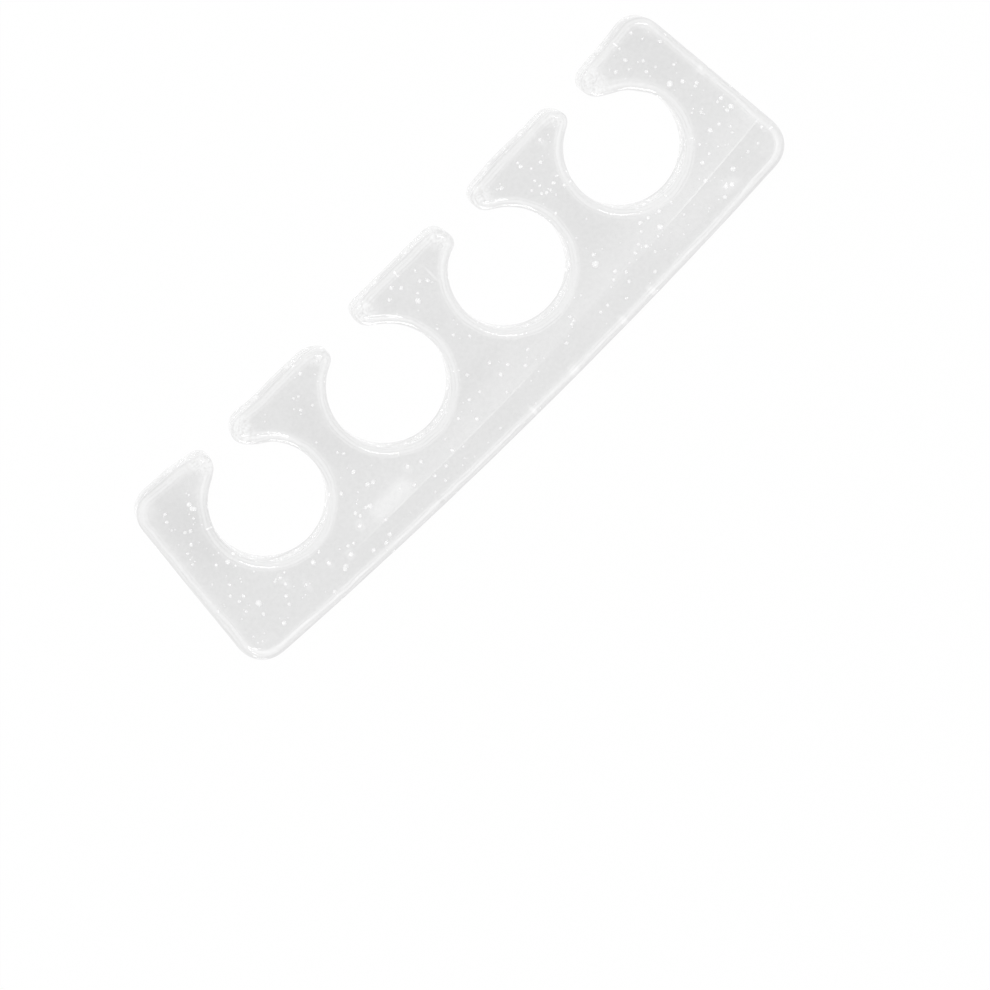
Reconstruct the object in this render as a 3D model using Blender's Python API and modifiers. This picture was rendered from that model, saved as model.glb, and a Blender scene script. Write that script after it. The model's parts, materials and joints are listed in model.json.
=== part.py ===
# Toe separator for painting toenails: one moulded bar of soft clear gel.
# Four round toe holes lie in a row, and each opens through a narrow throat on the same long side.
# Metres, +Z up. X runs along the bar, +Y points at the open side, and the bar lies on its flat
# underside at Z = 0, with the origin under the middle of its outline's box.
import math

import bmesh
import bpy
from mathutils import Vector

# Driving sizes, in metres
THICKNESS = 0.008            # from the underside to the top face
HOLE_COUNT = 4
HOLE_DIAMETER = 0.0177
HOLE_PITCH = 0.0245          # between the middles of neighbouring holes
SPINE_WIDTH = 0.00965        # gel between the holes and the long closed edge
ARM_WIDTH = 0.0094           # gel between an outer hole and the end of the bar, near the spine
TIP_COVER = 0.0031           # gel between the tops of the holes and the finger tips
THROAT_WIDTH = 0.0056        # gap between two noses, centred on its hole
ARM_REACH_IN = 0.0013        # the end arms' noses come this much further into their throats
ARM_RISE = 0.0005            # the end arms' outer corners stand this far past the finger tips
BOW_RISE = 0.00167           # the bar bends towards its open side by this much at its ends
END_TAPER = 0.0023           # each end is this much shorter at its tip than at the spine
SPINE_CORNER_RADIUS = 0.0045
TIP_CORNER_RADIUS = 0.0037
RIM_RADIUS = 0.0010          # rounding of the top face's rim
FOOT_RADIUS = 0.0003         # the underside's edge is nearly sharp
RIM_SHARE = 0.9              # most of a nose or of half the thickness that a rim may take

# How finely round stretches are drawn
WIDE_ARC_STEP = math.radians(7)      # round the toe holes
TIGHT_ARC_STEP = math.radians(14)    # round noses and corners
SPINE_STEP = 0.006
RIM_SEGMENTS = 4                     # across each rounded rim
SAME_POINT = 0.00005                 # outline points nearer than this count as one
FLAT_ENOUGH = 0.999                  # upward share of a flat face's normal
RIM_ANGLE = math.radians(60)         # edges that turn more than this are rims

# Places that follow from the sizes
HOLE_RADIUS = HOLE_DIAMETER / 2
HALF_LENGTH = HOLE_PITCH * (HOLE_COUNT - 1) / 2 + HOLE_RADIUS + ARM_WIDTH
SPINE_Y = -(HOLE_RADIUS + SPINE_WIDTH)   # closed edge at mid length, from the row of hole middles
FINGER_Y = HOLE_RADIUS + TIP_COVER       # finger tips, from the same row

GEL_COLOUR = (0.86, 0.87, 0.87, 1.0)


def clear_scene():
    """Empties the file."""
    for item in list(bpy.data.objects):
        bpy.data.objects.remove(item, do_unlink=True)


def bow(x):
    """How far the bend lifts the outline towards the open side at x."""
    return BOW_RISE * (x / HALF_LENGTH) ** 2


def hole_middles():
    """The middles of the toe holes, from left to right."""
    first = -HOLE_PITCH * (HOLE_COUNT - 1) / 2
    xs = [first + HOLE_PITCH * i for i in range(HOLE_COUNT)]
    return [Vector((x, bow(x))) for x in xs]


def nose(hole, side, half_gap):
    """The circle of the nose on one side of a throat, as its middle and radius.

    It touches the throat's half gap, the line of the finger tips and the hole's circle.
    """
    rise = FINGER_Y + bow(hole.x + side * half_gap) - bow(hole.x)
    span = rise + HOLE_RADIUS - half_gap
    radius = span - math.sqrt(span ** 2 - (half_gap ** 2 + rise ** 2 - HOLE_RADIUS ** 2))
    middle = hole + Vector((side * (half_gap + radius), rise - radius))
    return middle, radius


def corner_circles(side):
    """The rounded corners of one end, the spine's and then the tip's."""
    spine_x = HALF_LENGTH - SPINE_CORNER_RADIUS
    tip_x = HALF_LENGTH - END_TAPER - TIP_CORNER_RADIUS
    spine_y = SPINE_Y + bow(spine_x) + SPINE_CORNER_RADIUS
    tip_y = FINGER_Y + bow(tip_x) + ARM_RISE - TIP_CORNER_RADIUS
    spine = (Vector((side * spine_x, spine_y)), SPINE_CORNER_RADIUS, TIGHT_ARC_STEP)
    tip = (Vector((side * tip_x, tip_y)), TIP_CORNER_RADIUS, TIGHT_ARC_STEP)
    return spine, tip


def outline_circles():
    """The circles that the outline runs round, anticlockwise from the right end of the spine.

    Each has its middle, its radius and the step of its arc. A toe hole's radius is negative,
    because the outline goes round it clockwise.
    """
    spine_corner, tip_corner = corner_circles(1)
    circles = [spine_corner, tip_corner]
    holes = hole_middles()
    for hole in reversed(holes):
        right_gap = THROAT_WIDTH / 2 - (ARM_REACH_IN if hole is holes[-1] else 0)
        left_gap = THROAT_WIDTH / 2 - (ARM_REACH_IN if hole is holes[0] else 0)
        circles.append((*nose(hole, 1, right_gap), TIGHT_ARC_STEP))
        circles.append((hole, -HOLE_RADIUS, WIDE_ARC_STEP))
        circles.append((*nose(hole, -1, left_gap), TIGHT_ARC_STEP))
    spine_corner, tip_corner = corner_circles(-1)
    return circles + [tip_corner, spine_corner]


def tangent_angle(start, end):
    """The angle of the outward normal of the line that leaves one circle and joins the next."""
    along = end[0] - start[0]
    lean = math.acos(max(-1.0, min(1.0, (start[1] - end[1]) / along.length)))
    return math.atan2(along.y, along.x) - lean


def arc(circle, first, last):
    """Points round a circle between two normals: anticlockwise, or clockwise round a hole."""
    middle, radius, step = circle
    turn = (last - first) % math.tau
    if radius < 0:
        turn -= math.tau
    count = max(2, math.ceil(abs(turn) / step))
    angles = [first + turn * i / count for i in range(count + 1)]
    return [middle + radius * Vector((math.cos(a), math.sin(a))) for a in angles]


def spine_points(first, last):
    """Points along the bowed spine edge between the ends of its corners."""
    count = max(2, round((last.x - first.x) / SPINE_STEP))
    xs = [first.x + (last.x - first.x) * i / count for i in range(1, count)]
    return [Vector((x, SPINE_Y + bow(x))) for x in xs]


def without_repeats(points):
    """The points with those left out that fall on the one before."""
    kept = []
    for point in points:
        if not kept or (point - kept[-1]).length > SAME_POINT:
            kept.append(point)
    return kept


def fitting_radius(wanted, circles):
    """A rim's rounding, kept below the smallest nose and half the thickness."""
    smallest = min(radius for middle, radius, step in circles if radius > 0)
    return min(wanted, smallest * RIM_SHARE, THICKNESS / 2 * RIM_SHARE)


def plan_outline(circles):
    """The outline of the bar seen from above, anticlockwise, with its box centred on the origin."""
    down = -math.pi / 2
    leaving = [tangent_angle(a, b) for a, b in zip(circles, circles[1:])] + [down]
    arriving = [down] + leaving[:-1]
    points = []
    for circle, first, last in zip(circles, arriving, leaving):
        points += arc(circle, first, last)
    points += spine_points(points[-1], points[0])
    points = without_repeats(points)
    lowest = min(p.y for p in points)
    highest = max(p.y for p in points)
    shift = Vector((0, -(lowest + highest) / 2))
    return [p + shift for p in points]


def gel_material():
    """Soft clear gel with a faint grey body and a wet shine."""
    material = bpy.data.materials.new("clear_gel")
    material.use_nodes = True
    shader = material.node_tree.nodes["Principled BSDF"]
    shader.inputs["Base Color"].default_value = GEL_COLOUR
    shader.inputs["Metallic"].default_value = 0.0
    shader.inputs["Roughness"].default_value = 0.12
    shader.inputs["IOR"].default_value = 1.45
    shader.inputs["Transmission Weight"].default_value = 0.85
    return material


def outline_slab(points):
    """The outline as a flat filled curve with square edges, extruded to the bar's thickness."""
    curve = bpy.data.curves.new("outline", "CURVE")
    curve.dimensions = "2D"
    curve.fill_mode = "BOTH"
    curve.extrude = THICKNESS / 2
    spline = curve.splines.new("POLY")
    spline.points.add(len(points) - 1)
    for spot, point in zip(spline.points, points):
        spot.co = (point.x, point.y, 0, 1)
    spline.use_cyclic_u = True
    return bpy.data.objects.new("outline", curve)


def closed_mesh(slab, top_radius, foot_radius):
    """The slab as one closed mesh, whose two rims carry the weights of their rounding."""
    bpy.context.scene.collection.objects.link(slab)
    bpy.context.view_layer.update()
    depsgraph = bpy.context.evaluated_depsgraph_get()
    mesh = bpy.data.meshes.new_from_object(slab.evaluated_get(depsgraph))
    bpy.data.objects.remove(slab, do_unlink=True)
    shape = bmesh.new()
    shape.from_mesh(mesh)
    bmesh.ops.remove_doubles(shape, verts=shape.verts, dist=SAME_POINT / 2)
    for side in (1, -1):
        cap = [f for f in shape.faces if f.normal.z * side > FLAT_ENOUGH]
        bmesh.ops.dissolve_faces(shape, faces=cap)
    weight = shape.edges.layers.float.new("bevel_weight_edge")
    for edge in shape.edges:
        if edge.calc_face_angle() > RIM_ANGLE:
            on_top = edge.verts[0].co.z > 0
            edge[weight] = 1.0 if on_top else foot_radius / top_radius
    shape.to_mesh(mesh)
    shape.free()
    return mesh


def separator(collection):
    """The whole bar: its outline given its thickness, with a round top rim and a finer one below."""
    circles = outline_circles()
    top_radius = fitting_radius(RIM_RADIUS, circles)
    foot_radius = min(fitting_radius(FOOT_RADIUS, circles), top_radius)
    mesh = closed_mesh(outline_slab(plan_outline(circles)), top_radius, foot_radius)
    mesh.name = "separator_body"
    mesh.materials.clear()
    mesh.materials.append(gel_material())
    mesh.shade_smooth()
    body = bpy.data.objects.new("separator_body", mesh)
    body.location.z = THICKNESS / 2
    collection.objects.link(body)
    rounding = body.modifiers.new("round_rims", "BEVEL")
    rounding.limit_method = "WEIGHT"
    rounding.width = top_radius
    rounding.segments = RIM_SEGMENTS
    rounding.use_clamp_overlap = False
    return body


def main():
    clear_scene()
    collection = bpy.data.collections.new("toe_separator")
    bpy.context.scene.collection.children.link(collection)
    separator(collection)


main()
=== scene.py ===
import json
import math
import random

import bmesh
import bpy
from mathutils import Matrix, Vector, noise
from mathutils.bvhtree import BVHTree
from mathutils.kdtree import KDTree

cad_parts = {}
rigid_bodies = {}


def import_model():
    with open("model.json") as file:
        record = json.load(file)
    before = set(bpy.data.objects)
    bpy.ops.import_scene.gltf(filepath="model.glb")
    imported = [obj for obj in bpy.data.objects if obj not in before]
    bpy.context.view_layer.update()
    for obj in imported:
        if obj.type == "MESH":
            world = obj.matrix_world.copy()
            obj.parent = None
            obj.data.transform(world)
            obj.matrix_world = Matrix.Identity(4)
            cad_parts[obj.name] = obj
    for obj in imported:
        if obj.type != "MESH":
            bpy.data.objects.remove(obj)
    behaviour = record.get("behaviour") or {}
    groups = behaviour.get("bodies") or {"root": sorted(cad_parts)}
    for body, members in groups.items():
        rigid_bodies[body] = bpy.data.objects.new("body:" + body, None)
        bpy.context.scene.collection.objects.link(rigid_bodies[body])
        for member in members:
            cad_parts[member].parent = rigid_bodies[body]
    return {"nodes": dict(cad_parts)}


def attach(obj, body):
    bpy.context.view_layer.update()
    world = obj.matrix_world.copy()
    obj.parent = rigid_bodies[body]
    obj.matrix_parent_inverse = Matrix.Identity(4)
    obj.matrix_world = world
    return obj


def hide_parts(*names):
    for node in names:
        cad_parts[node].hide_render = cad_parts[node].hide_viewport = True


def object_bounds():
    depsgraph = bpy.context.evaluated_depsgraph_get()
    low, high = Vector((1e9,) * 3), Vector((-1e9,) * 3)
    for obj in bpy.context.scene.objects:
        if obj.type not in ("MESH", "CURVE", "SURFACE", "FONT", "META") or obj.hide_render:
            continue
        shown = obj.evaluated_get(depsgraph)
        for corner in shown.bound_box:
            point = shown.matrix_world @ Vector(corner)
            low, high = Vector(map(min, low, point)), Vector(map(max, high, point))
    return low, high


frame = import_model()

# Clear gel toe separator on a light table. Everything is in metres, in the part's own frame.
cadLow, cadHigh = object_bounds()
root = "root"
bodyNode = "separator_body"
midHeight = (cadLow.z + cadHigh.z) / 2
perMetre = 1000        # the gel's finish is laid out in millimetres

# camera
view = {
    "partPixel": (457.9, 336.3),    # where the middle of the part lies in the 990 by 990 frame
    "frameSize": 990,
    "metresPerPixel": 0.0001465,
    "distance": 1.17,
    "tilt": math.radians(7.2),      # leans towards the open side
    "roll": math.radians(44.6),     # turns the bar up to the right
    "sensor": 36.0,
    "nearest": 0.01,                # what is nearer isn't drawn
    "middlePixel": (-0.7, 15.2),    # the part's middle, in pixels along and across the bar
}


def addCamera(facts):
    middle = (cadLow + cadHigh) / 2
    back = Vector((0, math.sin(facts["tilt"]), math.cos(facts["tilt"])))
    along = Vector((1, 0, 0))
    across = back.cross(along)
    right = along * math.cos(facts["roll"]) - across * math.sin(facts["roll"])
    up = along * math.sin(facts["roll"]) + across * math.cos(facts["roll"])
    half = facts["frameSize"] / 2
    offRight = (facts["partPixel"][0] - half) * facts["metresPerPixel"]
    offUp = (half - facts["partPixel"][1]) * facts["metresPerPixel"]
    # the camera's axis passes beside the part, which lies off the middle of the frame
    eye = middle + back * facts["distance"] - right * offRight - up * offUp
    # turn the whole set-up about the part, so that the part itself is seen at the tilt
    seen = (eye - middle).normalized()
    turn = seen.rotation_difference(back)
    eye = middle + turn @ (eye - middle)
    data = bpy.data.cameras.new("camera")
    data.sensor_width = facts["sensor"]
    data.lens = facts["sensor"] * facts["distance"] / (facts["frameSize"] * facts["metresPerPixel"])
    data.clip_start = facts["nearest"]
    camera = bpy.data.objects.new("camera", data)
    pose = Matrix((right, up, back)).transposed()
    camera.matrix_world = Matrix.Translation(eye) @ (turn.to_matrix() @ pose).to_4x4()
    bpy.context.scene.collection.objects.link(camera)
    bpy.context.scene.camera = camera
    print("camera at", [round(v, 3) for v in eye])
    return eye


# a place on the gel, from pixels of the photograph along and across the bar
def pointOnGel(x, y):
    size = view["metresPerPixel"]
    midX, midY = view["middlePixel"]
    return Vector(((x - midX) * size, (y - midY) * size, 0))


# a place inside the gel that shows at a pixel through the top face, at the given height
def pointInGel(x, y, z):
    lean = math.tan(view["tilt"])
    place = pointOnGel(x, y)
    place.y /= math.cos(view["tilt"])
    place.y += (cadHigh.z - cadLow.z) / 2 * lean - (cadHigh.z - z) * lean / gelFinish["bend"]
    place.z = z
    return place


eye = addCamera(view)

# light table
table = {
    "drop": 0.0002,        # how far under the part its top lies
    "size": 4.0,
    "glow": 0.97,          # share of plain white that camera and glass see there
    "colour": (0.93, 0.93, 0.93, 1),
}


def maths(nodes, links, operation, first, second=None):
    node = nodes.new("ShaderNodeMath")
    node.operation = operation
    for socket, value in zip(node.inputs, (first, second)):
        if value is None:
            continue
        if isinstance(value, (int, float)):
            socket.default_value = value
        else:
            links.new(value, socket)
    return node.outputs[0]


def addTable(facts):
    mesh = bpy.data.meshes.new("light_table")
    shape = bmesh.new()
    bmesh.ops.create_grid(shape, x_segments=1, y_segments=1, size=facts["size"] / 2)
    bmesh.ops.translate(shape, verts=shape.verts, vec=(0, 0, cadLow.z - facts["drop"]))
    shape.to_mesh(mesh)
    shape.free()
    top = bpy.data.objects.new("light_table", mesh)
    bpy.context.scene.collection.objects.link(top)
    material = bpy.data.materials.new("light_table")
    material.use_nodes = True
    nodes, links = material.node_tree.nodes, material.node_tree.links
    nodes.clear()
    matt = nodes.new("ShaderNodeBsdfDiffuse")
    matt.inputs["Color"].default_value = facts["colour"]
    glow = nodes.new("ShaderNodeEmission")
    mix = nodes.new("ShaderNodeMixShader")
    # camera, gloss and glass see it glow, and all else meets its matt top
    path = nodes.new("ShaderNodeLightPath")
    shown = maths(nodes, links, "MAXIMUM", path.outputs["Is Camera Ray"], path.outputs["Is Glossy Ray"])
    shown = maths(nodes, links, "MAXIMUM", shown, path.outputs["Is Transmission Ray"])
    links.new(maths(nodes, links, "MULTIPLY", shown, facts["glow"]), mix.inputs[0])
    links.new(matt.outputs[0], mix.inputs[1])
    links.new(glow.outputs[0], mix.inputs[2])
    out = nodes.new("ShaderNodeOutputMaterial")
    links.new(mix.outputs[0], out.inputs["Surface"])
    material.cycles.emission_sampling = "NONE"
    mesh.materials.append(material)


addTable(table)

# lamps, and the studio that gloss and glass see
studio = {
    "matt": 0.45,          # strength of the surroundings on matt surfaces
    "above": 0.95,         # what gloss and glass see overhead
    "low": 0.92,           # and near the horizon
    "highEnough": 0.7,     # upward share of a direction that counts as overhead
    "leastUp": 0.001,      # upward share below which slopes grow no steeper
    "bounces": 32,         # light crosses the gel many times before it leaves
    "gelBounces": 28,
    "softboxes": [
        # name, place, size, watts
        ("overhead", (0.0, 0.5, 1.6), (1.4, 1.2), 20.0),
        ("side", (-1.3, -0.6, 0.9), (0.7, 0.7), 4.0),
    ],
    # a long soft light, whose sharp edge the top face mirrors along the spine
    "edgePixels": -62.7,       # across the bar
    "edgeTurnsAt": -100.0,     # along the bar, from where the edge curves away
    "edgeCurve": 0.000110,     # pixels across for each pixel along, squared
    "edgeFade": 46.0,          # pixels over which it fades
    "edgeStart": (-235.0, -175.0),     # along the bar, where it comes up
    "edgeSharp": 0.6,          # pixels over which the edge itself fades
    "edgeSoft": 5.0,           # and how much wider it is where it is soft
    "softStart": (10.0, 70.0),         # along the bar, where it turns soft
    "softEnd": (240.0, 190.0),         # and where it is sharp again
    "edgeStrength": 0.8,
    "lineWidth": 2.2,          # pixels of the brighter line along its edge
    "lineFade": 0.6,
    "lineStart": (180.0, 260.0),       # along the bar, where the line gets stronger
    "lineStrength": (0.8, 1.4),
    # a pane of light that the top face mirrors: middle, half size and fade in pixels
    "paneMiddle": (-162.0, -50.5),
    "paneHalf": (29.0, 13.0),
    "paneFade": 9.0,
    "paneStrength": 1.5,
    # a small bright light, as its slopes from straight overhead
    "sparkMiddle": (0.287, 0.11),
    "sparkHalf": (0.07, 0.13),
    "sparkFade": 0.005,
    "sparkStrength": 14.0,
}


def addSoftbox(name, place, size, watts):
    data = bpy.data.lights.new(name, "AREA")
    data.shape = "RECTANGLE"
    data.size, data.size_y = size
    data.energy = watts
    lamp = bpy.data.objects.new(name, data)
    lamp.location = place
    lamp.rotation_euler = (-Vector(place)).to_track_quat("-Z", "Y").to_euler()
    # gloss and glass see the studio below instead
    lamp.visible_glossy = False
    lamp.visible_transmission = False
    bpy.context.scene.collection.objects.link(lamp)


# a value spread evenly between two others
def mapRange(nodes, links, value, start, end, low=0.0, high=1.0):
    node = nodes.new("ShaderNodeMapRange")
    links.new(value, node.inputs["Value"])
    for name, number in (("From Min", start), ("From Max", end), ("To Min", low), ("To Max", high)):
        node.inputs[name].default_value = number
    return node.outputs[0]


# 1 inside a rectangle of slopes, and 0 outside its faded edge
def slopeBox(nodes, links, slopes, middle, half, fade):
    inside = 1.0
    for slope, centre, reach in zip(slopes, middle, half):
        off = maths(nodes, links, "SUBTRACT", slope, centre)
        off = maths(nodes, links, "ABSOLUTE", off)
        hit = mapRange(nodes, links, off, reach, reach - fade)
        inside = maths(nodes, links, "MULTIPLY", hit, inside)
    return inside


# the slopes at which the flat top face mirrors a place given in pixels, as the camera sees it
def mirroredSlopes(pixel):
    place = pointOnGel(*pixel)
    rise = eye.z - cadHigh.z
    return (place.x - eye.x) / rise, (place.y - eye.y) / rise


# a long light with a curved edge and a brighter line along it
def longLight(nodes, links, slopes, pixel, facts):
    edgeX, edgeY = mirroredSlopes((facts["edgeTurnsAt"], facts["edgePixels"]))
    print("studio: edge slope", round(edgeY, 4))
    side = maths(nodes, links, "SUBTRACT", slopes[0], edgeX)
    curved = maths(nodes, links, "MAXIMUM", side, 0.0)
    lift = maths(nodes, links, "MULTIPLY", curved, curved)
    lift = maths(nodes, links, "MULTIPLY", lift, facts["edgeCurve"] / pixel)
    # pixels past the edge, and along the bar
    over = maths(nodes, links, "SUBTRACT", slopes[1], edgeY)
    over = maths(nodes, links, "SUBTRACT", over, lift)
    over = maths(nodes, links, "DIVIDE", over, pixel)
    along = maths(nodes, links, "DIVIDE", side, pixel)
    along = maths(nodes, links, "ADD", along, facts["edgeTurnsAt"])
    soft = mapRange(nodes, links, along, *facts["softStart"])
    soft = maths(nodes, links, "MULTIPLY", soft, mapRange(nodes, links, along, *facts["softEnd"]))
    soft = maths(nodes, links, "MULTIPLY", soft, facts["edgeSoft"])
    lit = maths(nodes, links, "DIVIDE", over, maths(nodes, links, "ADD", soft, facts["edgeSharp"]))
    lit = maths(nodes, links, "MINIMUM", maths(nodes, links, "MAXIMUM", lit, 0.0), 1.0)
    started = mapRange(nodes, links, along, *facts["edgeStart"])
    band = maths(nodes, links, "MULTIPLY", lit, mapRange(nodes, links, over, facts["edgeFade"], 0.0))
    band = maths(nodes, links, "MULTIPLY", band, started)
    band = maths(nodes, links, "MULTIPLY", band, facts["edgeStrength"])
    line = mapRange(nodes, links, over, facts["lineWidth"], facts["lineWidth"] - facts["lineFade"])
    line = maths(nodes, links, "MULTIPLY", lit, line)
    line = maths(nodes, links, "MULTIPLY", line, started)
    strength = mapRange(nodes, links, along, *facts["lineStart"], *facts["lineStrength"])
    line = maths(nodes, links, "MULTIPLY", line, strength)
    return maths(nodes, links, "ADD", band, line)


def addStudio(facts):
    for name, place, size, watts in facts["softboxes"]:
        addSoftbox(name, place, size, watts)
    world = bpy.data.worlds.new("studio")
    world.use_nodes = True
    bpy.context.scene.world = world
    nodes, links = world.node_tree.nodes, world.node_tree.links
    nodes.clear()
    coords = nodes.new("ShaderNodeTexCoord")
    split = nodes.new("ShaderNodeSeparateXYZ")
    links.new(coords.outputs["Generated"], split.inputs[0])
    height = maths(nodes, links, "MAXIMUM", split.outputs["Z"], facts["leastUp"])
    slopes = [maths(nodes, links, "DIVIDE", split.outputs[axis], height) for axis in ("X", "Y")]
    # the surroundings are paler overhead than near the horizon
    pale = mapRange(nodes, links, split.outputs["Z"], 0.0, facts["highEnough"], facts["low"], facts["above"])
    # one pixel of the photograph, as a change of slope
    pixel = view["metresPerPixel"] / (eye.z - cadHigh.z)
    pane = slopeBox(
        nodes, links, slopes, mirroredSlopes(facts["paneMiddle"]),
        [half * pixel for half in facts["paneHalf"]], facts["paneFade"] * pixel
    )
    pane = maths(nodes, links, "MULTIPLY", pane, facts["paneStrength"])
    spark = slopeBox(
        nodes, links, slopes, facts["sparkMiddle"], facts["sparkHalf"], facts["sparkFade"]
    )
    spark = maths(nodes, links, "MULTIPLY", spark, facts["sparkStrength"])
    # only gloss mirrors these lights
    path = nodes.new("ShaderNodeLightPath")
    bright = maths(nodes, links, "ADD", longLight(nodes, links, slopes, pixel, facts), pane)
    bright = maths(nodes, links, "ADD", bright, spark)
    bright = maths(nodes, links, "MULTIPLY", bright, path.outputs["Is Glossy Ray"])
    matt = nodes.new("ShaderNodeBackground")
    matt.inputs["Strength"].default_value = facts["matt"]
    seen = nodes.new("ShaderNodeBackground")
    links.new(maths(nodes, links, "ADD", pale, bright), seen.inputs["Strength"])
    # past the table the camera sees plain white
    white = nodes.new("ShaderNodeBackground")
    white.inputs["Color"].default_value = (1, 1, 1, 1)
    glassy = maths(
        nodes, links, "MAXIMUM", path.outputs["Is Glossy Ray"], path.outputs["Is Transmission Ray"]
    )
    first = nodes.new("ShaderNodeMixShader")
    links.new(glassy, first.inputs[0])
    links.new(matt.outputs[0], first.inputs[1])
    links.new(seen.outputs[0], first.inputs[2])
    second = nodes.new("ShaderNodeMixShader")
    links.new(path.outputs["Is Camera Ray"], second.inputs[0])
    links.new(first.outputs[0], second.inputs[1])
    links.new(white.outputs[0], second.inputs[2])
    out = nodes.new("ShaderNodeOutputWorld")
    links.new(second.outputs[0], out.inputs["Surface"])
    world.cycles.sampling_method = "NONE"
    cycles = bpy.context.scene.cycles
    cycles.max_bounces = facts["bounces"]
    cycles.glossy_bounces = facts["gelBounces"]
    cycles.transmission_bounces = facts["gelBounces"]
    bpy.context.scene.view_settings.view_transform = "Standard"


addStudio(studio)

# what the gel looks like
gelFinish = {
    "bodyTint": (0.79, 0.79, 0.79, 1),     # the gel seen through its flat faces
    "clearTint": (1.0, 1.0, 1.0, 1),       # along the rims, where painted highlights and shade mix it in
    "roughness": 0.0,
    "bend": 1.45,                # index of refraction
    "shadowTint": (0.93, 0.93, 0.93, 1),
    "cloud": 0.012,              # size of the faint clouds in the gel
    "cloudShare": 0.12,
    "grain": 0.0006,
    "grainShare": 0.22,
    "mottle": 0.0010,            # size of the painted pale refractions in the noses
    "mottleTwist": 1.5,
    "mottleNoise": (0.35, 0.6),  # the part of the noise that is spread over the next range
    "mottleRange": (0.1, 1.2),   # of clearness
    "mottleHalf": (24, 27, 19, 28, 24, 25, 18, 29),      # half size of each mottled nose, in pixels
    "mottleShift": 4,            # pixels from the middle of a nose towards its tip
    "mottleShare": 0.65,
    # painted highlights and shade along the rims, with the clearer look of the thin gel there: paleness by
    # the distance in from the outline in millimetres, 0 for the body and 1 for clear, on walls that face the
    # spine, the ends and the open side
    "paintedRimTones": {
        "outer": {
            "away": [
                (0, 0.5), (0.1, 0.0), (0.3, -0.1), (0.42, 0.1), (0.55, 0.33), (0.8, 0.4), (1.0, 0.5),
                (1.12, 0.36), (1.25, 0.16), (1.45, 0.03), (1.65, 0),
            ],
            "side": [
                (0, 0.88), (0.15, 0.5), (0.3, 0.36), (0.45, 0.5), (0.6, 0.8), (0.75, 0.96),
                (1.05, 0.84), (1.3, 0.55), (1.6, 0.3), (1.8, 0.0),
            ],
            "toward": [
                (0, 0.3), (0.12, 0.3), (0.25, 0.7), (0.45, 1.0), (0.75, 1.0), (1.0, 0.85),
                (1.2, 0.6), (1.45, 0.3), (1.8, 0.0),
            ],
        },
        "hole": {
            "away": [
                (0, 0.6), (0.15, 0.3), (0.3, 0.24), (0.45, 0.36), (0.6, 0.64), (0.75, 0.76), (0.9, 0.78),
                (1.05, 0.62), (1.2, 0.38), (1.3, 0.33), (1.46, 0.44), (1.6, 0.32), (1.8, 0.0),
            ],
            "side": [
                (0, 0.9), (0.15, 0.75), (0.3, 0.65), (0.45, 0.65), (0.6, 0.85), (0.75, 1.15),
                (1.05, 1.15), (1.3, 0.6), (1.6, 0.32), (1.8, 0.0),
            ],
            "toward": [
                (0, 1), (0.75, 1.0), (1.05, 0.92), (1.2, 0.75), (1.34, 0.5), (1.48, 0.28), (1.7, 0.0),
            ],
        },
        "foot": [(0, 1), (0.4, 0.9), (1.1, 0)],
        # by the height up the wall
        "wall": [(0, 1), (5.9, 1), (6.3, 0.6), (6.8, 0.6), (7.1, 0.8)],
    },
    "toneReach": 2.0,            # how far in the tones go, in millimetres
    "wallHeight": 8.0,           # and how far up
    # heights in millimetres over which the underside, and the two ends of the walls, fade
    "footFade": (0.6, 0.4),
    "wallFoot": (0.25, 0.35),
    "wallTop": (7.2, 6.9),
    "wander": 0.1,               # how far the rim's lines wander, in millimetres
    "wanderSize": 0.004,
    "wanderNoise": (0.25, 0.75),
    "wallSeen": 1.0,             # how much of a wall shows past the rim, in millimetres
    "lineStep": 0.55,            # between the fine lines, in millimetres
    "linePhase": 3.3,
    "lineStray": 7.0,            # change of phase, in radians for each millimetre that they wander
    "lineSize": 0.0032,          # of the stretches over which they come and go
    "lineNoise": (0.35, 0.65),
    "lineShare": 0.42,
    "lineInner": (1.7, 1.2),     # distance in and height over which they fade, in millimetres
    "lineLow": (0.6, 0.8),
    # paler and darker places: pixels along and across, half sizes in pixels, change of clearness
    "patches": [
        ((-325, 60), (36, 75), -0.22),
        ((335, 80), (32, 60), -0.10),
        ((-165, 45), (30, 60), -0.12),
        ((170, 20), (35, 50), -0.07),
        ((250, -48), (120, 30), 0.05),
        ((-20, -25), (60, 18), -0.08),
        ((260, -66), (80, 18), 0.08),
        ((354, -66), (17, 17), 0.1),
        ((-354, -67), (17, 17), 0.1),
        ((-345, 112), (18, 14), 0.25),
        ((352, 106), (14, 16), 0.25),
    ],
    # painted glow round bubbles, and painted highlights and shade at the rims, as small spots in the same way
    "paintedGlowAndShadeSpots": [
        ((-251, -56), (5, 5), 0.35),
        ((-283, -57), (4, 7), 0.3),
        ((-231, -64), (7, 5), 0.4),
        ((-203, -50), (6, 6), 0.35),
        ((-297, -32), (5, 5), 0.25),
        ((-296, -40), (5, 5), 0.3),
        ((-130, -43), (7, 6), 0.2),
        ((195, 95), (5, 5), 0.3),
        ((1, -90), (3, 7), 0.5),
        ((58, -90), (8, 7), 0.4),
        ((128, -89), (5, 7), 0.4),
        ((170, -88), (5, 7), 0.45),
        ((-128, -90), (4, 5), -0.3),
        ((300, -68), (16, 8), 0.35),
        ((358, 35), (5, 4), 0.6),
        ((24, 80), (2, 13), 0.35),
    ],
    "patchCore": 0.3,            # share of a patch that is at full strength
}

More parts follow.
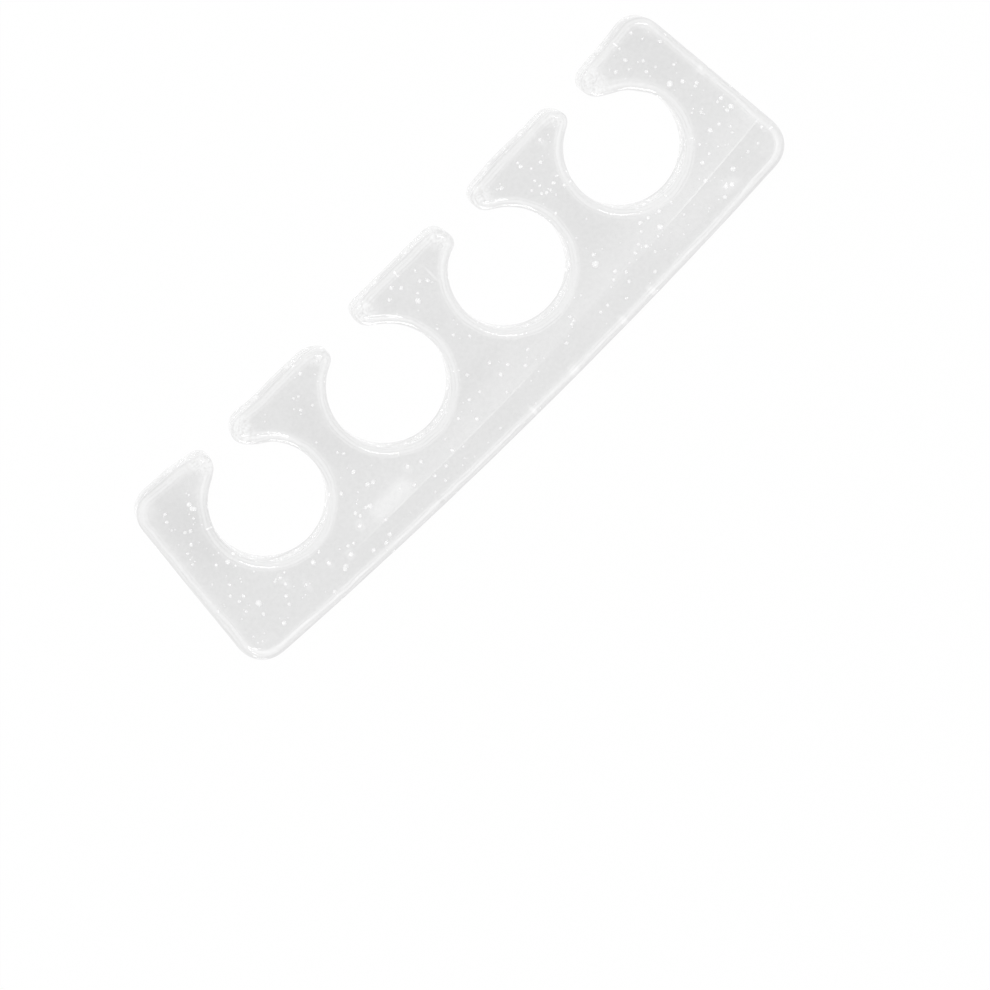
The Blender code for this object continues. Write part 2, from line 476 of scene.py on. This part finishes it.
# the bar itself, as a smooth skin of gel
gelBody = {
    "joinWithin": 1e-6,
    "capFace": 0.9999,               # upward share of the normal of a flat face, and of its points
    "capPoint": 0.999,
    "midBand": 0.0006,               # how far from mid-height the ring of wall points may lie
    "ringParts": 12,                 # points on each of its edges
    "columnWidth": 0.0009,           # along the rims, between cuts
    "wallRows": 8,
    "topRings": (0.0002, 0.0002, 0.0002, 0.0002),       # on the flat faces, next to the rims
    "footRings": (0.0003, 0.0003, 0.0003),
    "wobble": 0.00003,               # of the rims and walls
    "wobbleScale": 0.0035,
    "noseWobble": 0.00003,
    "noseScale": 0.0014,
    "seed": 11,
    # middles of the eight noses, in pixels along and across the bar
    "noses": [(-268, 106), (-226, 100), (-111, 99), (-56, 100), (60, 98), (108, 99), (223, 103), (267, 101)],
    "noseReach": (0.0010, 0.0026),
    # soft pushes of the moulded bar: pixels, reach, and the move in metres
    "pushes": [
        ((276, 86), 0.0042, (-0.00025, -0.00095)),
        ((262, 106), 0.0030, (-0.0002, -0.0002)),
        ((-222, 84), 0.0030, (-0.0001, -0.00045)),
        ((-228, 114), 0.0025, (0.0002, -0.0003)),
        ((-60, 98), 0.0030, (0.00042, 0.0003)),
        ((62, 90), 0.0030, (0.0003, -0.0004)),
        ((-108, 112), 0.0028, (-0.00035, -0.0003)),
        ((227, 114), 0.0026, (-0.0003, -0.00025)),
        ((-300, 124), 0.0050, (0.0, 0.00025)),
        ((-190, 118), 0.0050, (0.0, -0.00025)),
        ((150, 117), 0.0050, (0.0, 0.00025)),
        ((310, 124), 0.0050, (0.0, -0.00015)),
        ((299, 70), 0.0040, (-0.00045, -0.00030)),
    ],
    # middles of the toe holes in the outline, and how near its points lie to their circles
    "holes": [(-0.03675, 0.0031), (-0.01225, 0.0024), (0.01225, 0.0024), (0.03675, 0.0031)],
    "holeRadius": 0.00885,
    "holeReach": 0.0003,
    # how each toe hole of the moulded bar lies off the plan: its move and its widening, in metres
    "holeMoves": [
        ((0.00008, -0.00041), -0.00005),
        ((-0.00007, -0.00004), 0.00025),
        ((0.00003, -0.00019), 0.00010),
        ((-0.00010, -0.00010), 0.00006),
    ],
    "moveReach": 0.0035,             # from the hole's wall to where the move has faded
    # the rim's lines lie further in round the two spine corners
    "cornerMiddle": (0.0505, -0.0102),
    "cornerReach": (0.0047, 0.0085),
    "cornerSpread": 0.28,
    "spreadEnd": (0.0014, 0.0018),   # distance in from the outline, over which that ends
}


def flatFaces(shape, direction):
    return [f for f in shape.faces if f.normal.z * direction > gelBody["capFace"]]


def widestFlat(shape, direction):
    return max(flatFaces(shape, direction), key=lambda f: f.calc_area())


# the edges that lie across from one another through a row of four-sided faces
def edgesAcross(edge):
    found = {edge}
    todo = [edge]
    while todo:
        here = todo.pop()
        for face in here.link_faces:
            if len(face.verts) != 4:
                continue
            for other in face.edges:
                if other not in found and not set(other.verts) & set(here.verts):
                    found.add(other)
                    todo.append(other)
    return list(found)


def smoothStep(low, high, value):
    share = min(1.0, max(0.0, (value - low) / (high - low)))
    return share * share * (3 - 2 * share)


# the part's own solid, with its triangles joined into rows and columns
def rowsAndColumns(facts):
    shape = bmesh.new()
    shape.from_mesh(frame["nodes"][bodyNode].data)
    bmesh.ops.remove_doubles(shape, verts=shape.verts, dist=facts["joinWithin"])
    for direction in (1, -1):
        bmesh.ops.dissolve_faces(shape, faces=flatFaces(shape, direction))
    walls = [f for f in shape.faces if len(f.verts) == 3]
    bmesh.ops.join_triangles(
        shape, faces=walls, angle_face_threshold=math.pi, angle_shape_threshold=math.pi
    )
    upright = [
        e for e in shape.edges if (e.verts[0].co.z - midHeight) * (e.verts[1].co.z - midHeight) < 0
    ]
    bmesh.ops.subdivide_edges(shape, edges=upright, cuts=facts["wallRows"] - 1, use_grid_fill=True)
    cap = widestFlat(shape, 1)
    for edge in list(cap.edges):
        count = round(edge.calc_length() / facts["columnWidth"])
        if count > 1:
            bmesh.ops.subdivide_edges(shape, edges=edgesAcross(edge), cuts=count - 1, use_grid_fill=True)
    return shape


# points close together along the outline of the bar, and which way the wall faces at each
def outlinePoints(shape, facts):
    level = [v for v in shape.verts if abs(v.co.z - midHeight) < facts["midBand"]]
    height = min(level, key=lambda v: abs(v.co.z - midHeight)).co.z
    within = facts["joinWithin"]
    ring = [e for e in shape.edges if all(abs(v.co.z - height) < within for v in e.verts)]
    count = facts["ringParts"]
    points = []
    facings = []
    for edge in ring:
        start, end = (v.co.xy for v in edge.verts)
        points += [start.lerp(end, i / count) for i in range(count)]
        facings += [edge.link_faces[0].normal.y] * count
    tree = KDTree(len(points))
    for index, point in enumerate(points):
        tree.insert((point.x, point.y, 0), index)
    tree.balance()
    return tree, facings


# 1 on the outline of a toe hole, else 0
def onHole(point, facts):
    far = min((point.xy - Vector(hole)).length for hole in facts["holes"])
    return 1.0 if far < facts["holeRadius"] + facts["holeReach"] else 0.0


# how a place near the toe holes moves with them
def holeMove(point, facts):
    total = Vector((0, 0, 0))
    for hole, (move, wider) in zip(facts["holes"], facts["holeMoves"]):
        off = point.xy - Vector(hole)
        share = 1 - smoothStep(0, facts["moveReach"], off.length - facts["holeRadius"])
        total += ((Vector(move) + off.normalized() * wider) * share).to_3d()
    return total


# how much nearer to the outline a place counts as lying, round the spine corners on the upper half
def cornerShare(place, far, facts):
    if place.z < midHeight:
        return 0
    corner = Vector((abs(place.x), place.y)) - Vector(facts["cornerMiddle"])
    share = facts["cornerSpread"] * (1 - smoothStep(*facts["cornerReach"], corner.length))
    return share * (1 - smoothStep(*facts["spreadEnd"], far))


def makeGelBody(facts):
    shape = rowsAndColumns(facts)
    outline, facings = outlinePoints(shape, facts)
    for direction, rings in ((1, facts["topRings"]), (-1, facts["footRings"])):
        for width in rings:
            bmesh.ops.inset_region(
                shape, faces=[widestFlat(shape, direction)], thickness=width,
                use_even_offset=True, use_boundary=True
            )
    caps = [f for f in shape.faces if len(f.verts) > 4]
    bmesh.ops.triangulate(shape, faces=caps, quad_method="BEAUTY", ngon_method="BEAUTY")
    shape.normal_update()
    noses = [pointOnGel(x, y) for x, y in facts["noses"]]
    pushes = [(pointOnGel(*pixel), reach, Vector(move + (0,))) for pixel, reach, move in facts["pushes"]]
    # what the gel's finish reads off each point
    inwards, ways, rounds = [], [], []
    for vert in shape.verts:
        plan = Vector((vert.co.x, vert.co.y, 0))
        near, index, far = outline.find(plan)
        inwards.append(far * perMetre * (1 - cornerShare(vert.co, far, facts)))
        ways.append(facings[index])
        rounds.append(onHole(near, facts))
        nose = max(1 - smoothStep(*facts["noseReach"], (plan - n).length) for n in noses)
        # rims and walls wander a little, and more at the noses, but not past the box
        flat = 1 if abs(vert.normal.z) > facts["capPoint"] else 0
        push = noise.noise(vert.co / facts["wobbleScale"] + Vector((facts["seed"], 0, 0)))
        fine = noise.noise(vert.co / facts["noseScale"] + Vector((0, facts["seed"], 0)))
        move = vert.normal * (1 - flat) * (push * facts["wobble"] + fine * nose * facts["noseWobble"])
        if vert.co.z > midHeight:
            move.z = min(move.z, cadHigh.z - vert.co.z)
        else:
            move.z = max(move.z, cadLow.z - vert.co.z)
        for place, reach, way in pushes:
            move += way * (1 - smoothStep(0, reach, (plan - place).length))
        move += holeMove(plan, facts) * (1 - nose)
        vert.co += move
    mesh = bpy.data.meshes.new("gel_body")
    shape.to_mesh(mesh)
    solid = BVHTree.FromBMesh(shape)
    shape.free()
    for name, values in (("inward", inwards), ("facing", ways), ("inHole", rounds)):
        mesh.attributes.new(name, "FLOAT", "POINT").data.foreach_set("value", values)
    for face in mesh.polygons:
        face.use_smooth = True
    skin = bpy.data.objects.new("gel_body", mesh)
    bpy.context.scene.collection.objects.link(skin)
    smooth = skin.modifiers.new("smooth", "SUBSURF")
    smooth.levels = smooth.render_levels = 1
    print("gel body:", len(mesh.polygons), "faces")
    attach(skin, root)
    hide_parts(bodyNode)
    return skin, solid


gelSkin, gelSolid = makeGelBody(gelBody)


# a soft oval patch, 1 at its middle and 0 at its edge
def makePatchGroup(core):
    group = bpy.data.node_groups.new("soft_patch", "ShaderNodeTree")
    for name in ("Place", "Middle", "Half Size"):
        group.interface.new_socket(name, in_out="INPUT", socket_type="NodeSocketVector")
    group.interface.new_socket("Mask", in_out="OUTPUT", socket_type="NodeSocketFloat")
    nodes, links = group.nodes, group.links
    given = nodes.new("NodeGroupInput")
    off = nodes.new("ShaderNodeVectorMath")
    off.operation = "SUBTRACT"
    links.new(given.outputs["Place"], off.inputs[0])
    links.new(given.outputs["Middle"], off.inputs[1])
    share = nodes.new("ShaderNodeVectorMath")
    share.operation = "DIVIDE"
    links.new(off.outputs[0], share.inputs[0])
    links.new(given.outputs["Half Size"], share.inputs[1])
    far = nodes.new("ShaderNodeVectorMath")
    far.operation = "LENGTH"
    links.new(share.outputs[0], far.inputs[0])
    fade = nodes.new("ShaderNodeMapRange")
    fade.interpolation_type = "SMOOTHSTEP"
    fade.inputs["From Min"].default_value = 1.0
    fade.inputs["From Max"].default_value = core
    links.new(far.outputs["Value"], fade.inputs["Value"])
    out = nodes.new("NodeGroupOutput")
    links.new(fade.outputs[0], out.inputs["Mask"])
    return group


# one soft patch of the group, from its middle and half sizes in pixels
def addPatch(nodes, links, patch, place, pixel, half):
    size = view["metresPerPixel"]
    spot = nodes.new("ShaderNodeGroup")
    spot.node_tree = patch
    links.new(place, spot.inputs["Place"])
    spot.inputs["Middle"].default_value = pointOnGel(*pixel)
    spot.inputs["Half Size"].default_value = (half[0] * size, half[1] * size, 1.0)
    return spot.outputs["Mask"]


def attribute(nodes, name):
    node = nodes.new("ShaderNodeAttribute")
    node.attribute_name = name
    return node.outputs["Fac"]


def blend(nodes, links, share, first, second):
    node = nodes.new("ShaderNodeMix")
    links.new(share, node.inputs["Factor"])
    for socket, value in ((node.inputs["A"], first), (node.inputs["B"], second)):
        if isinstance(value, (int, float)):
            socket.default_value = value
        else:
            links.new(value, socket)
    return node.outputs["Result"]


def noiseOf(nodes, links, coords, size, detail=2.0, distortion=0.0):
    node = nodes.new("ShaderNodeTexNoise")
    node.inputs["Scale"].default_value = 1 / size
    node.inputs["Detail"].default_value = detail
    node.inputs["Distortion"].default_value = distortion
    links.new(coords, node.inputs["Vector"])
    return node.outputs["Fac"]


# a ramp's colours stay between 0 and 1, so the painted tone is squeezed into them and taken out again
rampSqueeze = 0.5
rampShift = 0.25


# how pale the painted tone of the gel is at a distance in or up, from stops in millimetres
def paintedToneRamp(nodes, links, distance, stops, reach):
    ramp = nodes.new("ShaderNodeValToRGB")
    elements = ramp.color_ramp.elements
    while len(elements) > 1:
        elements.remove(elements[0])
    for index, (place, level) in enumerate(stops):
        stop = elements[0] if index == 0 else elements.new(place / reach)
        stop.position = place / reach
        shown = level * rampSqueeze + rampShift
        stop.color = (shown, shown, shown, 1)
    links.new(maths(nodes, links, "DIVIDE", distance, reach), ramp.inputs[0])
    level = maths(nodes, links, "SUBTRACT", ramp.outputs[0], rampShift)
    return maths(nodes, links, "MULTIPLY", level, 1 / rampSqueeze)


# painted highlights and shade: paler and darker lines that follow the rims and walls of the bar
def makePaintedRimShading(facts):
    group = bpy.data.node_groups.new("rim_painted_light_and_shade", "ShaderNodeTree")
    for name, kind in (("Place", "Vector"), ("Inward", "Float"), ("Facing", "Float"), ("In Hole", "Float")):
        group.interface.new_socket(name, in_out="INPUT", socket_type="NodeSocket" + kind)
    group.interface.new_socket("Painted Rim Tone", in_out="OUTPUT", socket_type="NodeSocketFloat")
    nodes, links = group.nodes, group.links
    given = nodes.new("NodeGroupInput").outputs
    place = given["Place"]
    split = nodes.new("ShaderNodeSeparateXYZ")
    links.new(place, split.inputs[0])
    height = maths(nodes, links, "MULTIPLY", split.outputs["Z"], perMetre)
    wander = noiseOf(nodes, links, place, facts["wanderSize"])
    wander = mapRange(nodes, links, wander, *facts["wanderNoise"], -facts["wander"], facts["wander"])
    inward = maths(nodes, links, "ADD", given["Inward"], wander)
    toward = maths(nodes, links, "MAXIMUM", given["Facing"], 0.0)
    away = maths(nodes, links, "MAXIMUM", maths(nodes, links, "MULTIPLY", given["Facing"], -1.0), 0.0)
    kinds = []
    for kind in ("outer", "hole"):
        sideLevel, awayLevel, towardLevel = (
            paintedToneRamp(nodes, links, inward, facts["paintedRimTones"][kind][way], facts["toneReach"])
            for way in ("side", "away", "toward")
        )
        level = blend(nodes, links, away, sideLevel, awayLevel)
        kinds.append(blend(nodes, links, toward, level, towardLevel))
    level = blend(nodes, links, given["In Hole"], *kinds)
    # the painted tones of the underside and the walls
    foot = paintedToneRamp(nodes, links, given["Inward"], facts["paintedRimTones"]["foot"], facts["toneReach"])
    level = blend(nodes, links, mapRange(nodes, links, height, *facts["footFade"]), level, foot)
    onWall = mapRange(nodes, links, height, *facts["wallFoot"])
    onWall = maths(nodes, links, "MULTIPLY", onWall, mapRange(nodes, links, height, *facts["wallTop"]))
    wall = paintedToneRamp(nodes, links, height, facts["paintedRimTones"]["wall"], facts["wallHeight"])
    level = blend(nodes, links, onWall, level, wall)
    # the fine lines, painted refractions of the rims, which run on from the rims down the walls that the
    # camera sees
    drop = mapRange(nodes, links, height, 0.0, facts["wallHeight"], -facts["wallSeen"], 0.0)
    along = maths(nodes, links, "ADD", inward, maths(nodes, links, "MULTIPLY", drop, toward))
    turn = maths(nodes, links, "MULTIPLY", along, math.tau / facts["lineStep"])
    turn = maths(nodes, links, "ADD", turn, maths(nodes, links, "MULTIPLY", wander, facts["lineStray"]))
    lines = maths(nodes, links, "SINE", maths(nodes, links, "ADD", turn, facts["linePhase"]))
    strength = noiseOf(nodes, links, place, facts["lineSize"])
    strength = mapRange(nodes, links, strength, *facts["lineNoise"], 0.0, facts["lineShare"])
    for distance, ends in ((given["Inward"], facts["lineInner"]), (height, facts["lineLow"])):
        share = mapRange(nodes, links, distance, *ends)
        strength = maths(nodes, links, "MULTIPLY", strength, share)
    level = maths(nodes, links, "ADD", level, maths(nodes, links, "MULTIPLY", lines, strength))
    out = nodes.new("NodeGroupOutput")
    links.new(level, out.inputs["Painted Rim Tone"])
    return group


# clear gel, greyer through its flat faces, with painted highlights and shade and a clearer tint along its
# rims
def makeGelMaterial(facts):
    material = bpy.data.materials.new("clear_gel")
    material.use_nodes = True
    nodes, links = material.node_tree.nodes, material.node_tree.links
    nodes.clear()
    gel = nodes.new("ShaderNodeBsdfPrincipled")
    gel.inputs["Transmission Weight"].default_value = 1.0
    gel.inputs["Roughness"].default_value = facts["roughness"]
    gel.inputs["IOR"].default_value = facts["bend"]
    place = nodes.new("ShaderNodeTexCoord").outputs["Object"]
    rims = nodes.new("ShaderNodeGroup")
    rims.node_tree = makePaintedRimShading(facts)
    links.new(place, rims.inputs["Place"])
    for name, source in (("Inward", "inward"), ("Facing", "facing"), ("In Hole", "inHole")):
        links.new(attribute(nodes, source), rims.inputs[name])
    total = rims.outputs["Painted Rim Tone"]
    # painted refractions: pale mottling in the noses
    patch = makePatchGroup(facts["patchCore"])
    inNose = 0.0
    for pixel, half in zip(gelBody["noses"], facts["mottleHalf"]):
        middle = (pixel[0], pixel[1] + facts["mottleShift"])
        spot = addPatch(nodes, links, patch, place, middle, (half, half))
        inNose = maths(nodes, links, "MAXIMUM", spot, inNose)
    mottle = noiseOf(nodes, links, place, facts["mottle"], distortion=facts["mottleTwist"])
    pale = mapRange(nodes, links, mottle, *facts["mottleNoise"], *facts["mottleRange"])
    total = blend(nodes, links, maths(nodes, links, "MULTIPLY", inNose, facts["mottleShare"]), total, pale)
    for pixel, half, change in facts["patches"] + facts["paintedGlowAndShadeSpots"]:
        spot = addPatch(nodes, links, patch, place, pixel, half)
        part = maths(nodes, links, "MULTIPLY", spot, change)
        total = maths(nodes, links, "ADD", total, part)
    for size, share in ((facts["cloud"], facts["cloudShare"]), (facts["grain"], facts["grainShare"])):
        part = mapRange(nodes, links, noiseOf(nodes, links, place, size), 0.0, 1.0, -share, share)
        total = maths(nodes, links, "ADD", total, part)
    # the base colour carries the painted rim highlights and shade as well as the gel's own grey
    tint = nodes.new("ShaderNodeMix")
    tint.data_type = "RGBA"
    tint.inputs["A"].default_value = facts["bodyTint"]
    tint.inputs["B"].default_value = facts["clearTint"]
    # a change below 0 makes the gel darker than its body
    tint.clamp_factor = False
    tint.clamp_result = True
    links.new(total, tint.inputs["Factor"])
    links.new(tint.outputs["Result"], gel.inputs["Base Color"])
    # light passes through it to the table
    clear = nodes.new("ShaderNodeBsdfTransparent")
    clear.inputs["Color"].default_value = facts["shadowTint"]
    path = nodes.new("ShaderNodeLightPath")
    mix = nodes.new("ShaderNodeMixShader")
    links.new(path.outputs["Is Shadow Ray"], mix.inputs[0])
    links.new(gel.outputs[0], mix.inputs[1])
    links.new(clear.outputs[0], mix.inputs[2])
    out = nodes.new("ShaderNodeOutputMaterial")
    links.new(mix.outputs[0], out.inputs["Surface"])
    return material


gelSkin.data.materials.clear()
gelSkin.data.materials.append(makeGelMaterial(gelFinish))

# tiny bubbles that were caught in the gel
bubbleFacts = {
    "faces": 2,                       # subdivisions of each ball
    "depth": (0.0012, 0.0070),        # heights at which they hang
    "seed": 4,
    "gap": 0.0009,                    # from the skin to the strewn ones
    "clearOfSkin": 1.2,               # and to the placed ones, in their own radii
    "swell": 1.18,                    # how much larger the placed ones are made than listed
    "flattest": (0.75, 0.7),          # least width and height of a ball, as shares of its length
    # the plainest ones: pixels along and across the bar, and radius in pixels
    "placed": [
        (-330, -35, 2.9), (-323, 16, 2.4), (-320, 8, 1.2), (-310, 84, 2.3), (-311, 79, 2.3), (-309, 77, 2.1),
        (-244, -71, 2.6), (-242, -70, 2.6), (-4, 68, 2.9), (148, -30, 3.3), (220, -49, 2.9), (327, 46, 3.1),
        (296, -66, 2.8), (313, -59, 2.5), (-336, -19, 2.0), (-262, -44, 2.5), (-251, -41, 1.6),
        (-182, -44, 2.3), (-186, -42, 1.8), (-334, 94, 1.6), (-338, 87, 1.6), (-340, 78, 1.0),
        (-316, 71, 1.4), (-332, 67, 1.6), (-327, 64, 1.9), (-337, 54, 2.0), (-345, 50, 1.4),
        (-349, 39, 1.2), (-333, 22, 1.5), (-338, -1, 1.5), (-345, -10, 1.5), (-343, -20, 1.6),
        (-344, -32, 1.3), (-303, -31, 1.4), (-290, -31, 1.3), (-297, -32, 1.5), (-297, -40, 1.7),
        (-334, -46, 2.0), (-305, -49, 1.7), (-357, -55, 1.2), (-309, -57, 1.7), (-252, -56, 2.0),
        (-283, -55, 1.3), (-326, -67, 2.1), (-230, -65, 2.2), (-226, -57, 1.8), (-220, -59, 1.5),
        (-204, -51, 2.0), (-198, -39, 1.9), (-196, -44, 1.8), (-194, -15, 2.2), (-268, -80, 1.9),
        (-211, -78, 2.2), (-197, -82, 2.2), (-188, -78, 2.1), (-181, -65, 1.5), (-303, 91, 1.1),
        (134, 90, 1.8), (130, 92, 1.2), (159, 58, 1.5), (154, 67, 1.3), (153, -22, 2.0), (157, -49, 1.9),
        (150, -54, 1.5), (143, -57, 1.1), (118, -68, 1.6), (128, -68, 1.8), (160, -66, 1.7), (146, -76, 1.5),
        (89, -56, 1.6), (93, -50, 1.5), (93, -55, 1.5), (72, -66, 1.6), (155, 34, 1.3), (116, -42, 1.2),
        (-161, 86, 1.4), (-156, 84, 1.6), (-168, 78, 1.1), (-164, 73, 1.5), (-152, 68, 1.4),
        (-176, 39, 1.2), (-168, 17, 1.2), (-164, 12, 1.6), (-170, -8, 2.2), (-169, -27, 2.3),
        (-163, -29, 2.3), (-128, -42, 2.0), (-136, -60, 1.8), (-115, -48, 1.8), (-115, -68, 1.6),
        (-100, -69, 1.8), (-85, -62, 1.9), (-82, -49, 1.1), (-74, -67, 1.4), (-126, -80, 1.2),
        (-111, -79, 1.5), (-58, -44, 1.8), (-45, -57, 1.9), (-37, -38, 1.7),
        (-21, -19, 1.9), (-24, -40, 1.4), (-35, -80, 1.3), (3, -42, 2.1), (3, -26, 1.7), (-5, -59, 1.3),
        (8, 7, 1.5), (-3, 19, 1.5), (-24, 89, 1.8), (-7, 89, 2.0), (1, 74, 1.5), (17, 76, 1.9), (11, 81, 1.7),
        (-15, 103, 1.9), (-14, 96, 1.9), (-1, 100, 1.2), (11, 103, 1.1), (15, 92, 1.2), (27, -53, 1.8),
        (40, -43, 1.7), (15, -40, 1.7), (-10, 35, 1.4), (-139, 99, 1.8), (163, 92, 2.0), (180, 81, 1.8),
        (169, 83, 1.3), (163, 96, 1.6), (195, 97, 1.9), (163, 55, 1.9), (168, 54, 1.5), (175, 57, 2.1),
        (181, 48, 1.6), (182, 60, 1.6), (163, 65, 1.4), (168, 47, 1.0), (163, 72, 1.5),
        (209, -32, 1.9), (164, -57, 1.7), (184, -50, 1.7), (192, -46, 1.4), (197, -53, 2.2), (203, -39, 1.4),
        (212, -54, 1.2), (199, -63, 1.4), (230, -37, 1.7), (218, -34, 1.7), (241, -33, 1.2), (246, -57, 1.2),
        (185, -77, 1.8), (213, -80, 1.2), (268, -70, 1.0), (285, -48, 2.0), (301, -69, 2.2), (287, -73, 2.0),
        (295, -33, 2.1), (306, -31, 1.5), (306, -18, 1.4), (323, -15, 2.3), (334, -17, 1.8), (355, -13, 2.8),
        (349, -13, 2.1), (337, -32, 1.2), (341, -27, 1.2), (335, -57, 1.6), (348, -58, 1.4), (362, -49, 1.8),
        (330, 4, 1.7), (348, 0, 1.5), (354, 0, 2.2), (322, 10, 1.2), (326, 12, 1.0), (338, 39, 1.9),
        (347, 28, 1.8), (343, 27, 1.4), (343, 57, 1.5), (328, 68, 1.3), (318, 71, 1.8), (324, 81, 1.7),
        (350, 83, 1.9), (338, 97, 1.3), (312, 94, 2.0), (296, 92, 1.9), (308, 85, 1.4), (334, 109, 1.6),
        (315, 106, 1.3),
    ],
    # how many more are strewn over the bar, and how small
    "strewn": 150,
    "strewnRadius": (0.5, 1.1),
    # how many of the tries are kept at the middle of the bar, and how fast that grows to all of
    # them at its ends
    "middleShare": 0.35,
    "crowding": 1.5,
}


# whether a place lies in the gel, at least the given distance from its skin
def insideGel(place, gap):
    near, normal, index, far = gelSolid.find_nearest(place)
    return far > gap and (place - near).dot(normal) < 0


def makeBubbles(facts):
    rand = random.Random(facts["seed"])
    pixel = view["metresPerPixel"]
    shape = bmesh.new()
    spots = []
    for x, y, radius in facts["placed"]:
        place = pointInGel(x, y, rand.uniform(*facts["depth"]))
        size = radius * pixel * facts["swell"]
        if insideGel(place, size * facts["clearOfSkin"]):
            spots.append((place, size))
        else:
            print("left out, too near the skin:", x, y)
    wanted = len(spots) + facts["strewn"]
    fewest = facts["middleShare"]
    while len(spots) < wanted:
        place = Vector([rand.uniform(low, high) for low, high in zip(cadLow, cadHigh)])
        kept = fewest + (1 - fewest) * (abs(place.x) / cadHigh.x) ** facts["crowding"]
        if rand.random() > kept or not insideGel(place, facts["gap"]):
            continue
        spots.append((place, rand.uniform(*facts["strewnRadius"]) * pixel))
    for place, radius in spots:
        turn = Matrix.Rotation(rand.uniform(0, math.tau), 4, "Z")
        width, height = (rand.uniform(least, 1) for least in facts["flattest"])
        squash = Matrix.Diagonal((1, width, height, 1))
        bmesh.ops.create_icosphere(
            shape, subdivisions=facts["faces"], radius=radius,
            matrix=Matrix.Translation(place) @ turn @ squash
        )
    mesh = bpy.data.meshes.new("gel_bubbles")
    shape.to_mesh(mesh)
    shape.free()
    mesh.shade_smooth()
    bubbles = bpy.data.objects.new("gel_bubbles", mesh)
    bpy.context.scene.collection.objects.link(bubbles)
    print("bubbles:", len(spots), "with", len(mesh.polygons), "faces")
    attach(bubbles, root)
    return bubbles


bubbleFinish = {
    "colour": (0.45, 0.45, 0.45, 1),
    "roughness": 0.6,
    "light": (1, 1, 1, 1),
    # painted glow: the bubbles give off light of their own, though they are no lamps
    "glow": 0.61,
}


# white bubbles, whose painted glow stands in for the light they scatter
def makeBubbleMaterial(facts):
    material = bpy.data.materials.new("bubble_white_painted_glow")
    material.use_nodes = True
    white = material.node_tree.nodes["Principled BSDF"]
    white.inputs["Base Color"].default_value = facts["colour"]
    white.inputs["Roughness"].default_value = facts["roughness"]
    white.inputs["Emission Color"].default_value = facts["light"]
    white.inputs["Emission Strength"].default_value = facts["glow"]
    material.cycles.emission_sampling = "NONE"
    return material


gelBubbles = makeBubbles(bubbleFacts)
gelBubbles.data.materials.append(makeBubbleMaterial(bubbleFinish))
